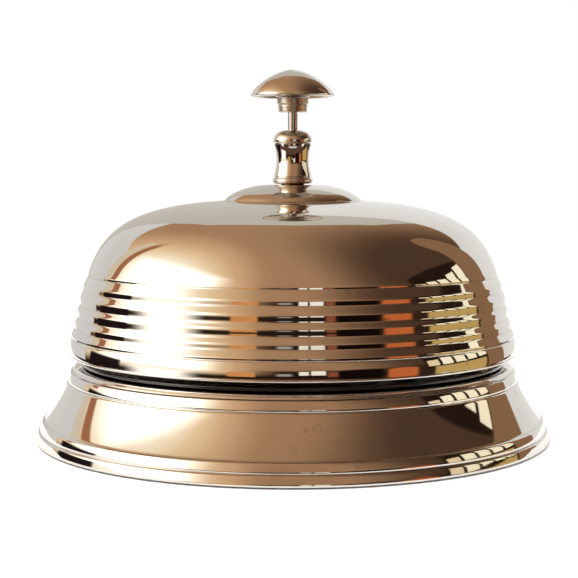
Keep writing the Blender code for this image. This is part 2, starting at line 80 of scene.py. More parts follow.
# Profiles ------------------------------------------------------------------------------------------


def bezier(points, steps):
    """Points along a Bezier curve of any degree, both ends included."""
    curve = []
    for step in range(steps + 1):
        row = [Vector(point) for point in points]
        while len(row) > 1:
            row = [a.lerp(b, step / steps) for a, b in zip(row, row[1:])]
        curve.append(tuple(row[0]))
    return curve


def arc(centre, radius, start, end, steps):
    """Points along a circular arc in a profile, with its angles in degrees."""
    turns = [radians(start + (end - start) * step / steps) for step in range(steps + 1)]
    return [(centre[0] + radius * cos(turn), centre[1] + radius * sin(turn)) for turn in turns]


def line(start, end, steps):
    return [tuple(Vector(start).lerp(Vector(end), step / steps)) for step in range(steps + 1)]


def lift(profile, height):
    return [(radius, z + height) for radius, z in profile]


def hollowness(profile):
    """How far each point of a profile lies in an inside corner or a groove, from 0 to 1."""
    full_bend = 2.0  # the bend per millimetre that counts as 1
    points = np.array(profile, float)
    before = points - np.roll(points, 1, axis=0)
    after = np.roll(points, -1, axis=0) - points
    lengths = np.hypot(*before.T), np.hypot(*after.T)
    cross = before[:, 0] * after[:, 1] - before[:, 1] * after[:, 0]
    bend = -2 * cross / (lengths[0] * lengths[1] + 1e-9) / (lengths[0] + lengths[1] + 1e-6)
    return np.clip(bend / full_bend, 0, 1)


# Meshes --------------------------------------------------------------------------------------------


def added(name, data):
    """A new object in the scene, holding a mesh, a light or a camera."""
    thing = bpy.data.objects.new(name, data)
    bpy.context.scene.collection.objects.link(thing)
    return thing


def mesh_from(name, bm):
    mesh = bpy.data.meshes.new(name)
    bm.to_mesh(mesh)
    bm.free()
    return mesh


def finished(name, bm, body, finishes, nodes, smooth_angle=40):
    """Makes a piece from a bmesh in metres, puts it on its body and hides the nodes that it stands for."""
    mesh = mesh_from(name, bm)
    mesh.shade_smooth()
    mesh.set_sharp_from_angle(angle=radians(smooth_angle))
    for finish in finishes:
        mesh.materials.append(FINISHES[finish])
    piece = added(name, mesh)
    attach(piece, body)
    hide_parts(*nodes)
    return piece


def turned_mesh(sections, segments, placement, radius_change):
    """Turns a profile about Z. The sections are (points, material number) and join end to end.

    Each point counts once, though two sections may share it. Points on the axis close the shape.
    radius_change(radius, height, angle) may shape the surface further, as for a screw thread.
    """
    profile = []
    numbers = []
    for points, number in sections:
        for point in points:
            if profile and hypot(point[0] - profile[-1][0], point[1] - profile[-1][1]) < 1e-5:
                continue
            profile.append(point)
            numbers.append(number)
    hollow = hollowness(profile)
    bm = bmesh.new()
    layer = bm.verts.layers.float.new("hollow")
    angles = [2 * pi * step / segments for step in range(segments)]
    rings = []
    for (radius, height), depth in zip(profile, hollow):
        if radius < 1e-6:
            rings.append([bm.verts.new((0, 0, height * MM))])
        else:
            ring = []
            for angle in angles:
                r = radius_change(radius, height, angle) if radius_change else radius
                ring.append(bm.verts.new((r * MM * cos(angle), r * MM * sin(angle), height * MM)))
            rings.append(ring)
        for vert in rings[-1]:
            vert[layer] = depth
    closed = len(rings[0]) > 1
    ends = rings[1:] + rings[:1] if closed else rings[1:]
    for low, high, number in zip(rings, ends, numbers):
        for step in range(segments):
            after = (step + 1) % segments
            if len(low) == 1:
                corners = (low[0], high[after], high[step])
            elif len(high) == 1:
                corners = (low[step], low[after], high[0])
            else:
                corners = (low[step], low[after], high[after], high[step])
            bm.faces.new(corners).material_index = number
    if placement:
        bmesh.ops.transform(bm, matrix=placement, verts=bm.verts)
    bmesh.ops.recalc_face_normals(bm, faces=bm.faces)
    return bm


def turned(name, sections, body, finishes, node, segments=FINE, placement=None, radius_change=None):
    bm = turned_mesh(sections, segments, placement, radius_change)
    finished(name, bm, body, finishes, [node])


# Nodes ---------------------------------------------------------------------------------------------


class Tree:
    """Short names for the node types that the materials and the world are made of."""

    def __init__(self, holder):
        holder.use_nodes = True
        self.tree = holder.node_tree
        self.tree.nodes.clear()

    def put(self, socket, value):
        if isinstance(value, bpy.types.NodeSocket):
            self.tree.links.new(value, socket)
        elif isinstance(value, tuple) and len(value) == 3 and socket.type == "RGBA":
            socket.default_value = (*value, 1.0)
        else:
            socket.default_value = value

    def node(self, kind, inputs=None, **settings):
        made = self.tree.nodes.new(kind)
        for key, value in settings.items():
            setattr(made, key, value)
        for key, value in (inputs or {}).items():
            self.put(made.inputs[key], value)
        return made

    def math(self, operation, first, second=0.0):
        return self.node("ShaderNodeMath", {0: first, 1: second}, operation=operation).outputs[0]

    def spread(self, value, low, high, to_low=0.0, to_high=1.0, between="SMOOTHSTEP"):
        """Maps a value from one range to another."""
        inputs = {"Value": value, "From Min": low, "From Max": high, "To Min": to_low, "To Max": to_high}
        return self.node("ShaderNodeMapRange", inputs, interpolation_type=between).outputs["Result"]

    def mix(self, share, first, second):
        """Mixes two colours. The node's colour sockets share their names with its other kinds of socket."""
        made = self.node("ShaderNodeMix", data_type="RGBA")
        for number, value in ((0, share), (6, first), (7, second)):
            self.put(made.inputs[number], value)
        return made.outputs[2]

    def vector(self, x, y, z):
        return self.node("ShaderNodeCombineXYZ", {"X": x, "Y": y, "Z": z}).outputs[0]

    def dot(self, first, second):
        inputs = {0: first, 1: second}
        return self.node("ShaderNodeVectorMath", inputs, operation="DOT_PRODUCT").outputs["Value"]

    def noise(self, vector, scale, detail=3.0, roughness=0.5):
        inputs = {"Vector": vector, "Scale": scale, "Detail": detail, "Roughness": roughness}
        return self.node("ShaderNodeTexNoise", inputs).outputs["Fac"]

    def cells(self, vector, scale):
        return self.node("ShaderNodeTexVoronoi", {"Vector": vector, "Scale": scale}).outputs["Distance"]

    def ramp(self, value, stops):
        made = self.node("ShaderNodeValToRGB", {"Fac": value})
        band = made.color_ramp
        while len(band.elements) < len(stops):
            band.elements.new(0.5)
        for element, (place, colour) in zip(band.elements, stops):
            element.position = place
            element.color = (*colour, 1.0)
        return made.outputs["Color"]

    def bump(self, height, strength, distance, normal=None):
        inputs = {"Height": height, "Strength": strength, "Distance": distance}
        if normal:
            inputs["Normal"] = normal
        return self.node("ShaderNodeBump", inputs).outputs["Normal"]


def tone(red, green, blue, strength=1.0):
    """A screen colour from 0 to 255 as linear light."""
    parts = [part / 255 for part in (red, green, blue)]
    return tuple(strength * (p / 12.92 if p <= 0.04045 else ((p + 0.055) / 1.055) ** 2.4) for p in parts)


# Finishes ------------------------------------------------------------------------------------------


def surface(name, metallic=0.0, **sockets):
    """A new material with its tree, its place coordinates and its shader, ready for detail."""
    material = bpy.data.materials.new(name)
    tree = Tree(material)
    place = tree.node("ShaderNodeTexCoord").outputs["Object"]
    shader = tree.node("ShaderNodeBsdfPrincipled", {"Metallic": metallic, **sockets})
    tree.node("ShaderNodeOutputMaterial", {"Surface": shader.outputs[0]})
    return material, tree, place, shader


def turning_marks(tree, place, pitch, drift):
    """Fine rings left by the lathe or the buffing wheel: noise that changes fast along the profile."""
    x, y, z = tree.node("ShaderNodeSeparateXYZ", {0: place}).outputs
    radius = tree.math("SQRT", tree.math("ADD", tree.math("MULTIPLY", x, x), tree.math("MULTIPLY", y, y)))
    sideways = tree.math("MULTIPLY", tree.math("ADD", x, tree.math("MULTIPLY", y, 0.7)), drift)
    rings = tree.vector(tree.math("MULTIPLY", radius, pitch), tree.math("MULTIPLY", z, pitch), sideways)
    return tree.noise(rings, 1.0, 4.0, 0.65)


def water_spots(tree, place, patch):
    """Small dried rings here and there, from 0 to 1."""
    reach = tree.cells(place, 140.0)
    ring = tree.math("MULTIPLY", tree.spread(reach, 0.07, 0.11), tree.spread(reach, 0.11, 0.16, 1.0, 0.0))
    core = tree.spread(reach, 0.015, 0.04, 0.8, 0.0)
    return tree.math("MULTIPLY", tree.math("ADD", ring, core), tree.spread(patch, 0.50, 0.56))


def plated(name, colour, worn, rough, marks, smudge):
    """Bright plating: buffing rings, soft smudges, dried spots, freckles and a darker film in the hollows."""
    material, tree, place, shader = surface(name, 1.0)
    rings = turning_marks(tree, place, 5200.0, 30.0)
    cloud = tree.noise(place, 55.0, 5.0, 0.6)
    patch = tree.noise(place, 17.0, 2.0, 0.5)
    hollow = tree.node("ShaderNodeAttribute", attribute_name="hollow").outputs["Fac"]
    film = tree.math("MULTIPLY", hollow, tree.spread(cloud, 0.3, 0.7, 0.35, 1.0))
    freckles = tree.spread(tree.cells(place, 260.0), 0.035, 0.09, 1.0, 0.0)
    freckles = tree.math("MULTIPLY", freckles, tree.spread(patch, 0.56, 0.66))
    spots = water_spots(tree, place, patch)
    tint = tree.mix(tree.spread(cloud, 0.35, 0.75, 0.0, 0.5), colour, worn)
    tint = tree.mix(tree.math("MULTIPLY", film, 0.55), tint, tuple(part * 0.45 for part in worn))
    dirt = tree.math("ADD", tree.math("MULTIPLY", freckles, 0.35), tree.math("MULTIPLY", spots, 0.30))
    tree.put(shader.inputs["Base Color"], tree.mix(dirt, tint, tuple(part * 0.5 for part in worn)))
    roughness = tree.spread(cloud, 0.45, 0.8, rough, rough + smudge)
    for layer, depth in ((rings, marks), (film, 0.12), (spots, 0.10)):
        roughness = tree.math("ADD", roughness, tree.math("MULTIPLY", layer, depth))
    tree.put(shader.inputs["Roughness"], roughness)
    ripple = tree.noise(place, 70.0, 1.0, 0.4)
    normal = tree.bump(ripple, 0.05, 0.0004)
    normal = tree.bump(spots, 0.10, 0.00004, normal)
    tree.put(shader.inputs["Normal"], tree.bump(rings, 0.03, 0.00003, normal))
    return material


def zinc():
    """Satin zinc plating: pale spangle, fine rubbed lines and dull clouds."""
    material, tree, place, shader = surface("zinc", 1.0)
    flakes = tree.cells(place, 620.0)
    cloud = tree.noise(place, 90.0, 5.0, 0.6)
    stretched = tree.node("ShaderNodeMapping", {"Vector": place, "Scale": (160.0, 3200.0, 3200.0)}).outputs[0]
    rubbed = tree.noise(stretched, 1.0, 3.0, 0.6)
    tint = tree.mix(cloud, tone(176, 179, 182), tone(205, 206, 205))
    tint = tree.mix(tree.spread(flakes, 0.1, 0.7, 0.0, 0.35), tint, tone(150, 154, 160))
    rough = tree.math("ADD", tree.spread(cloud, 0.3, 0.75, 0.28, 0.46), tree.math("MULTIPLY", rubbed, 0.10))
    tree.put(shader.inputs["Base Color"], tint)
    tree.put(shader.inputs["Roughness"], rough)
    normal = tree.bump(flakes, 0.10, 0.00006)
    tree.put(shader.inputs["Normal"], tree.bump(rubbed, 0.12, 0.00003, normal))
    return material


def wire():
    """Drawn spring steel: dark, with lengthwise draw marks and a thin oily bloom."""
    material, tree, place, shader = surface("drawn_wire", 1.0)
    bloom = tree.noise(place, 240.0, 4.0, 0.6)
    draw = tree.noise(place, 2600.0, 2.0, 0.7)
    tree.put(shader.inputs["Base Color"], tree.mix(bloom, tone(150, 150, 154), tone(182, 178, 172)))
    tree.put(shader.inputs["Roughness"], tree.spread(draw, 0.3, 0.7, 0.20, 0.38))
    tree.put(shader.inputs["Normal"], tree.bump(draw, 0.10, 0.00002))
    return material


def fibre():
    """Vulcanised fibre: pressed layers of red paper with darker flecks."""
    material, tree, place, shader = surface("vulcanised_fibre")
    stretched = tree.node("ShaderNodeMapping", {"Vector": place, "Scale": (500.0, 500.0, 4200.0)}).outputs[0]
    layers = tree.noise(stretched, 1.0, 4.0, 0.6)
    flecks = tree.spread(tree.cells(place, 1500.0), 0.1, 0.3, 1.0, 0.0)
    tint = tree.mix(layers, tone(136, 58, 44), tone(166, 82, 62))
    tint = tree.mix(tree.math("MULTIPLY", flecks, 0.4), tint, tone(84, 34, 28))
    tree.put(shader.inputs["Base Color"], tint)
    tree.put(shader.inputs["Roughness"], tree.spread(layers, 0.3, 0.7, 0.62, 0.84))
    tree.put(shader.inputs["Normal"], tree.bump(layers, 0.25, 0.00004))
    return material


def rubber():
    """Moulded black rubber with a fine skin texture and a grey bloom."""
    material, tree, place, shader = surface("moulded_rubber")
    skin = tree.noise(place, 1800.0, 3.0, 0.6)
    bloom = tree.noise(place, 160.0, 4.0, 0.55)
    tree.put(shader.inputs["Base Color"], tree.mix(bloom, tone(30, 30, 31), tone(58, 57, 56)))
    tree.put(shader.inputs["Roughness"], tree.spread(bloom, 0.3, 0.7, 0.66, 0.86))
    tree.put(shader.inputs["Normal"], tree.bump(skin, 0.30, 0.00005))
    return material


def felt():
    """Pressed wool felt: matted strands, lighter lint and a soft sheen."""
    material, tree, place, shader = surface("wool_felt", Roughness=0.96)
    swirl = tree.node("ShaderNodeTexNoise", {"Vector": place, "Scale": 260.0, "Detail": 3.0}).outputs["Color"]
    shift = tree.node("ShaderNodeVectorMath", {0: swirl, "Scale": 0.004}, operation="SCALE").outputs[0]
    strands = tree.node("ShaderNodeVectorMath", {0: place, 1: shift}, operation="ADD").outputs[0]
    mat = tree.noise(strands, 1500.0, 6.0, 0.72)
    lint = tree.spread(tree.cells(strands, 900.0), 0.03, 0.10, 1.0, 0.0)
    cloud = tree.noise(place, 45.0, 3.0, 0.5)
    tint = tree.mix(mat, tone(30, 66, 46), tone(66, 108, 78))
    tint = tree.mix(tree.spread(cloud, 0.4, 0.7, 0.0, 0.4), tint, tone(40, 74, 56))
    tint = tree.mix(tree.math("MULTIPLY", lint, 0.5), tint, tone(150, 168, 150))
    tree.put(shader.inputs["Base Color"], tint)
    tree.put(shader.inputs["Normal"], tree.bump(mat, 0.8, 0.0004))
    shader.inputs["Sheen Weight"].default_value = 0.5
    shader.inputs["Sheen Roughness"].default_value = 0.6
    return material


def enamel():
    """Glossy stoved black with fine orange peel, dust and a few rubbed patches."""
    material, tree, place, shader = surface("enamel")
    peel = tree.noise(place, 900.0, 2.0, 0.5)
    cloud = tree.noise(place, 60.0, 4.0, 0.6)
    dust = tree.spread(tree.cells(place, 700.0), 0.03, 0.08, 1.0, 0.0)
    tint = tree.mix(cloud, tone(16, 15, 16), tone(27, 25, 26))
    tint = tree.mix(tree.math("MULTIPLY", dust, 0.25), tint, tone(120, 112, 104))
    tree.put(shader.inputs["Base Color"], tint)
    tree.put(shader.inputs["Roughness"], tree.spread(cloud, 0.3, 0.75, 0.10, 0.28))
    tree.put(shader.inputs["Normal"], tree.bump(peel, 0.12, 0.00008))
    shader.inputs["Coat Weight"].default_value = 0.6
    shader.inputs["Coat Roughness"].default_value = 0.06
    return material


NICKEL, WARM_NICKEL, DULL_NICKEL = tone(226, 222, 216), tone(214, 205, 193), tone(180, 168, 150)
STEEL, DULL_STEEL = tone(205, 204, 203), tone(176, 172, 168)
BRASS, DULL_BRASS = tone(222, 186, 118), tone(176, 138, 82)

FINISHES = {
    "polished_nickel": plated("polished_nickel", NICKEL, WARM_NICKEL, rough=0.025, marks=0.02, smudge=0.03),
    "plain_plating": plated("plain_plating", WARM_NICKEL, DULL_NICKEL, rough=0.22, marks=0.16, smudge=0.15),
    "black_enamel": enamel(),
    "zinc_steel": zinc(),
    "bright_steel": plated("turned_steel", STEEL, DULL_STEEL, rough=0.10, marks=0.10, smudge=0.08),
    "spring_steel": wire(),
    "brass": plated("turned_brass", BRASS, DULL_BRASS, rough=0.13, marks=0.12, smudge=0.12),
    "red_fibre": fibre(),
    "black_rubber": rubber(),
    "green_felt": felt(),
}
NICKEL_OUT_AND_IN = ["polished_nickel", "plain_plating"]


def refinish(nodes, finish, edge):
    """Gives carried-over CAD pieces their full finish, and rounds their edges by a width in millimetres."""
    for node in nodes:
        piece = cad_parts[node]
        for place in piece.material_slots:
            place.material = FINISHES[finish]
        rounded = piece.modifiers.new("edge", "BEVEL")
        rounded.width = edge * MM
        rounded.segments = 2
        rounded.limit_method = "ANGLE"
        rounded.angle_limit = radians(40)
        rounded.harden_normals = True


# Room and light ------------------------------------------------------------------------------------


ROOM_GAIN = 1.35  # the room's colours times this are what the plating mirrors
DIFFUSE_LIGHT = 1.12
CARD_DISTANCES = count(1.672, -0.012)  # each card stands in front of the one before
CARD_CENTRE = Vector((0, 0, 0.03))
CARD_COLUMNS, CARD_ROWS = 32, 20
FLOOR_RADIUS = 1.2
PAPER_NEAR, PAPER_SIDE = -0.072, 0.17  # the mirrored paper's front edge and half width
PAPER_HEIGHT = 0.0001
CAMERA_DISTANCE, CAMERA_HEIGHT, CAMERA_PITCH = 0.350, 0.0656, 0.083
CAMERA_LENS, CAMERA_SHIFT = 87.6, -0.0065


def heading(azimuth, elevation):
    """The direction at an azimuth from the front, positive to the right, and an elevation."""
    turn, rise = radians(azimuth), radians(elevation)
    return Vector((sin(turn) * cos(rise), -cos(turn) * cos(rise), sin(rise)))


def room():
    """The world: a warm room for reflections, and plain white for the backdrop and the diffuse light."""
    world = bpy.data.worlds.new("room")
    bpy.context.scene.world = world
    tree = Tree(world)
    way = tree.node("ShaderNodeTexCoord").outputs["Generated"]
    height = tree.node("ShaderNodeSeparateXYZ", {0: way}).outputs["Z"]
    walls = tree.ramp(tree.spread(height, -1.0, 1.0, between="LINEAR"), [
        (0.0, tone(74, 56, 46)),
        (0.39, tone(84, 64, 52)),
        (0.43, tone(40, 26, 20)),
        (0.50, tone(30, 18, 14)),
        (0.56, tone(44, 27, 20)),
        (0.60, tone(150, 116, 88)),
        (0.80, tone(158, 122, 92)),
        (1.0, tone(156, 122, 92)),
    ])
    glow = tree.dot(way, tuple(heading(-82, 8)))
    cream = tree.ramp(glow, [
        (0.40, tone(168, 132, 98)),
        (0.62, tone(200, 164, 126)),
        (0.74, tone(226, 198, 160)),
        (0.86, tone(250, 240, 220)),
    ])
    above = tree.spread(height, -0.10, 0.08)
    colour = tree.mix(tree.math("MULTIPLY", tree.spread(glow, 0.22, 0.60), above), walls, cream)
    shade = tree.dot(way, tuple(heading(92, 30)))
    colour = tree.mix(tree.spread(shade, 0.36, 0.92, 0.0, 0.90), colour, tone(52, 36, 27))
    rays = tree.node("ShaderNodeLightPath")
    colour = tree.mix(rays.outputs["Is Diffuse Ray"], colour, (DIFFUSE_LIGHT / ROOM_GAIN,) * 3)
    colour = tree.mix(rays.outputs["Is Camera Ray"], colour, (1.0 / ROOM_GAIN,) * 3)
    background = tree.node("ShaderNodeBackground", {"Color": colour, "Strength": ROOM_GAIN})
    tree.node("ShaderNodeOutputWorld", {"Surface": background.outputs[0]})


def card(name, azimuths, elevations, colour, rounded=0.0, soft=0.0, falling=0.0):
    """A lit card on a wide sphere round the bell, seen only in reflections.

    Its top may be rounded, or fall towards its second azimuth, by degrees. A soft card fades out over
    that share of its width and height.
    """
    distance = next(CARD_DISTANCES)
    bm = bmesh.new()
    layer = bm.verts.layers.float.new("fade")
    grid = []
    for column in range(CARD_COLUMNS + 1):
        share = column / CARD_COLUMNS
        azimuth = azimuths[0] + (azimuths[1] - azimuths[0]) * share
        top = elevations[1] - rounded * (2 * share - 1) ** 2 - falling * share**2
        grid.append([])
        for row in range(CARD_ROWS + 1):
            elevation = elevations[0] + (top - elevations[0]) * row / CARD_ROWS
            vert = bm.verts.new(heading(azimuth, elevation) * distance + CARD_CENTRE)
            inset = min(share, 1 - share, 1 - row / CARD_ROWS)
            vert[layer] = min(inset / soft, 1.0) if soft else 1.0
            grid[-1].append(vert)
    for left, right in zip(grid, grid[1:]):
        for row in range(CARD_ROWS):
            bm.faces.new((left[row], right[row], right[row + 1], left[row + 1]))
    material = bpy.data.materials.new(name)
    tree = Tree(material)
    glow = tree.node("ShaderNodeEmission", {"Color": colour, "Strength": 1.0})
    clear = tree.node("ShaderNodeBsdfTransparent")
    fade = tree.spread(tree.node("ShaderNodeAttribute", attribute_name="fade").outputs["Fac"], 0.0, 1.0)
    both = tree.node("ShaderNodeMixShader", {0: fade, 1: clear.outputs[0], 2: glow.outputs[0]})
    tree.node("ShaderNodeOutputMaterial", {"Surface": both.outputs[0]})
    thing = added(name, mesh_from(name, bm))
    thing.data.materials.append(material)
    thing.visible_camera = False
    thing.visible_diffuse = False
    thing.visible_shadow = False


def cards():
    """Windows, furniture and the white sweep, placed round the bell as its plating shows them."""
    card("window_left", (-116, -32), (5, 42), tone(255, 252, 246, 3.0), rounded=8, soft=0.42)
    card("window_left_low", (-92, -44), (-15, 5), tone(255, 248, 236, 2.0), soft=0.4)
    card("dark_card_left", (-122, -92), (-20, 7), tone(34, 24, 24), soft=0.08)
    card("sweep_left", (-180, -126), (-6, 36), tone(226, 224, 222), falling=9)
    card("warm_card_left", (-120, -113), (8, 50), tone(176, 118, 84), rounded=6, soft=0.2)
    card("cream_card_left", (-126, -120), (5, 42), tone(228, 214, 190), rounded=6)
    card("backdrop", (158, 202), (-4, 57.5), tone(206, 201, 192), rounded=10)
    card("sweep_right", (180, 131), (-6, 36), tone(240, 239, 237), falling=10)
    card("brown_card_right", (113, 131), (-8, 50), tone(148, 112, 82), rounded=5)
    card("frame_right", (66, 113), (0, 31), tone(40, 27, 20), rounded=4, soft=0.06)
    for number, start in enumerate((78, 87, 96, 105), 1):
        elevations = (4 + 0.4 * number, 16 + 2 * number)
        card(f"window_right_{number}", (start, start + 7), elevations, tone(255, 244, 214, 1.2))
    card("window_right_5", (69, 76), (4, 14), tone(250, 226, 186))
    card("gold_card_right", (72, 112), (-14, 3), tone(206, 172, 104), soft=0.05)
    card("orange_card_right", (45, 64), (-10, 9), tone(206, 110, 58), rounded=3, soft=0.15)
    card("dark_front_right", (21, 45), (-12, 10), tone(22, 13, 10), rounded=2, soft=0.1)
    card("red_front", (16, 22), (-5, 7), tone(150, 84, 56), soft=0.2)
    card("orange_card_front", (-32, -17), (-5, 6), tone(226, 156, 92), rounded=2, soft=0.1)
    card("grey_front", (-9, 1), (-3, 3), tone(176, 170, 160), rounded=1, soft=0.3)
    card("window_front_1", (3, 7.5), (-1, 7), tone(255, 250, 236, 1.1))
    card("window_front_2", (8.6, 15.5), (-1, 8), tone(255, 250, 236, 1.1))
    card("white_table_edge", (-30, 30), (-32, -22), tone(245, 243, 240), soft=0.1)


def sheet(name, outline, height, finish):
    """A flat staging sheet on the ground."""
    bm = bmesh.new()
    bm.faces.new([bm.verts.new((x, y, height)) for x, y in outline])
    thing = added(name, mesh_from(name, bm))
    thing.data.materials.append(finish)
    return thing


def floor():
    """A pale round floor. The plating mirrors only the paper, which starts just in front of the base."""
    material, tree, place, shader = surface("floor_paper", Roughness=0.9)
    shade = tree.noise(place, 9.0, 2.0)
    tree.put(shader.inputs["Base Color"], tree.mix(shade, (0.90, 0.90, 0.895), (0.92, 0.92, 0.92)))
    ground = sheet("floor", arc((0, 0), FLOOR_RADIUS, 0, 360, 128)[:-1], 0.0, material)
    ground.visible_glossy = False
    front = [(-PAPER_SIDE, PAPER_NEAR), (PAPER_SIDE, PAPER_NEAR)]
    back = [(PAPER_SIDE, FLOOR_RADIUS), (-PAPER_SIDE, FLOOR_RADIUS)]
    paper = sheet("paper", front + back, PAPER_HEIGHT, material)
    paper.visible_camera = False
    paper.visible_diffuse = False
    paper.visible_shadow = False


def lamp(name, azimuth, elevation, distance, size, power):
    """A soft overhead light for the floor and the unplated parts. The plating doesn't mirror it."""
    light = bpy.data.lights.new(name, "AREA")
    light.shape = "DISK"
    light.size = size
    light.energy = power
    thing = added(name, light)
    thing.location = heading(azimuth, elevation) * distance
    thing.rotation_euler = (-thing.location).to_track_quat("-Z", "Y").to_euler()
    thing.visible_glossy = False


def camera():
    """A near camera in front of the bell, about as high as the gong's top and pitched down a little."""
    data = bpy.data.cameras.new("camera")
    data.sensor_width = 36.0
    data.lens = CAMERA_LENS
    data.shift_x = CAMERA_SHIFT
    data.clip_start = 0.01
    thing = added("camera", data)
    thing.location = (0.0, -CAMERA_DISTANCE, CAMERA_HEIGHT)
    thing.rotation_euler = (pi / 2 - CAMERA_PITCH, 0.0, 0.0)
    bpy.context.scene.camera = thing


# Gong ----------------------------------------------------------------------------------------------

# Each rolled step between the ribs: height above the lip, half width, and its steepest lean in degrees
RIB_STEPS = (
    (4.85, 0.36, -1.0),
    (7.40, 0.92, 3.2),
    (10.35, 1.34, 0.5),
    (13.30, 1.32, 0.5),
    (16.55, 0.98, 3.2),
    (19.70, 0.42, 3.0),
)
STEP_CORNER = 1.7  # how squarely a step meets the faces beside it
WALL_FOOT, WALL_HEAD = (54.85, 4.5), (50.45, 19.9)
GONG_WALL = 0.9


def rib_lean(height, face):
    """How far the wall leans in at a height: the ribs' faces lean most, the steps between them least."""
    for centre, half, steep in RIB_STEPS:
        near = abs(height - centre) / half
        if near < 1:
            return face + (steep - face) * (1 + cos(pi * near**STEP_CORNER)) / 2
    return face


def ribbed_wall(steps):
    """The leaning wall. The faces' lean is found by halving, so that the wall meets the crown's foot."""
    rise = (WALL_HEAD[1] - WALL_FOOT[1]) / steps
    low, high = 10.0, 40.0
    for _ in range(30):
        face = (low + high) / 2
        points = [WALL_FOOT]
        for step in range(steps):
            height = WALL_FOOT[1] + rise * (step + 0.5)
            inward = rise * tan(radians(rib_lean(height, face)))
            points.append((points[-1][0] - inward, height + rise / 2))
        low, high = (face, high) if points[-1][0] > WALL_HEAD[0] else (low, face)
    return points


def gong():
    """The bell itself: rolled lip, bead, ribbed wall, crown and boss, and the plain inside."""
    lip = low_of("gong")
    roll = arc((54.98, 0.36), 0.36, -150, 50, 14)
    bead = arc((44.35, 0.95), 11.0, -1.2, 17.2, 22) + [(54.76, 4.38), WALL_FOOT]
    wall = ribbed_wall(170)
    crown = bezier([WALL_HEAD, (46.9, 31.5), (38.0, 36.2), (18.0, 37.4)], 40)
    boss = [(18.0, 37.4), (17.2, 37.42), (17.0, 37.48)]
    boss += bezier([(16.88, 37.62), (15.2, 39.6), (10.8, 41.2), (6.5, 41.4)], 30) + [(3.5, 41.4), (3.3, 41.2)]
    outside = roll + bead + wall[1:] + crown[1:] + boss[1:]
    inner = [(3.3, 40.7), (3.5, 40.5)] + bezier([(7.2, 40.5), (11.6, 40.4), (15.4, 37.4), (17.6, 36.5)], 16)
    inner += bezier([(17.6, 36.5), (37.4, 35.4), (45.9, 31.2), (49.55, 19.9)], 24)[1:]
    inner += [(radius - GONG_WALL, height) for radius, height in reversed(ribbed_wall(75))][1:]
    inner += [(54.05, 2.6), (53.98, 1.2)]
    sections = [(lift(outside, lip), 0), (lift(inner, lip), 1)]
    turned("gong_shell", sections, "frame", NICKEL_OUT_AND_IN, "gong")


# Base ----------------------------------------------------------------------------------------------


def base():
    """The spun base: rolled foot, two low bands, concave flare, groove, upper band and flat top."""
    top_height = 18.4
    shift = high_of("base_skirt") - top_height
    foot = arc((63.05, 0.75), 0.45, -90, -5, 8)
    lower_band = bezier([(63.5, 0.82), (63.36, 1.5), (63.12, 2.45)], 6) + arc((62.74, 2.42), 0.36, 20, 85, 6)
    step = [(62.66, 2.83), (62.58, 2.92), (62.56, 3.06)]
    upper_band = bezier([(62.6, 3.2), (62.5, 3.9), (62.12, 4.95)], 6) + arc((61.74, 4.9), 0.36, 25, 80, 6)
    flare = [(61.62, 5.32), (61.40, 5.44)] + bezier([(61.15, 5.75), (58.3, 9.4), (56.0, 14.3)], 40)
    groove = [(55.90, 14.48), (55.76, 14.56), (55.62, 14.64), (55.58, 14.76), (55.66, 14.92)]
    band = bezier([(55.70, 15.05), (55.5, 16.0), (55.16, 16.9)], 6) + arc((54.80, 16.88), 0.34, 20, 82, 6)
    top = [(54.68, 17.24), (54.52, 17.30), (54.44, 17.42)] + line((54.38, 17.56), (54.0, 18.0), 3)
    top += arc((53.62, 17.98), 0.42, 20, 90, 6)
    inside = [(46.2, top_height), (46.0, 18.2), (46.0, 17.7), (46.2, 17.5), (52.4, 17.5)]
    inside += bezier([(52.4, 17.5), (54.8, 14.0), (57.4, 9.1), (60.2, 4.8)], 20)[1:]
    inside += [(61.5, 2.8), (61.9, 1.0), (62.1, 0.4)]
    outside = foot + lower_band + step + upper_band + flare + groove + band + top
    sections = [(lift(outside, shift), 0), (lift(inside, shift), 1)]
    turned("base_shell", sections, "frame", NICKEL_OUT_AND_IN, "base_skirt")


def deck():
    """The enamelled disc that closes the base."""
    low, high, radius = low_of("deck_plate"), high_of("deck_plate"), radius_of("deck_plate")
    edge = 0.38
    rim = arc((radius - edge, low + edge), edge, -90, 0, 8)
    rim += arc((radius - edge, high - edge), edge, 0, 90, 8)
    outline = [(0, low)] + line((8, low), (radius - 1, low), 4) + rim + line((radius - 1, high), (8, high), 4)
    turned("deck_disc", [(outline + [(0, high)], 0)], "frame", ["black_enamel"], "deck_plate")


# Stem and knob -------------------------------------------------------------------------------------


def finial():
    """The turned nut: bead, groove, waisted neck, a fine groove and a domed cap with the rod's hole."""
    low = low_of("finial")
    bead = [(4.1, 0)] + arc((4.25, 0.75), 0.75, -75, 60, 12) + [(4.62, 1.56), (4.52, 1.68), (4.52, 1.84)]
    neck = bezier([(4.62, 1.95), (4.15, 3.6), (3.72, 5.4), (3.95, 7.6), (4.58, 9.75)], 28)
    cap = [(4.5, 9.86), (4.52, 10.0)] + arc((4.3, 10.5), 0.5, -60, 10, 6)
    cap += bezier([(4.8, 10.75), (4.72, 12.0), (3.6, 12.9), (2.3, 13.15)], 16) + [(1.75, 13.2), (1.5, 13.1)]
    bore = [(1.5, 8.2), (3.3, 8.0), (3.3, 0.2), (3.5, 0)]
    sections = [(lift(bead + neck + cap, low), 0), (lift(bore, low), 1)]
    turned("finial_nut", sections, "frame", NICKEL_OUT_AND_IN, "finial", MEDIUM)


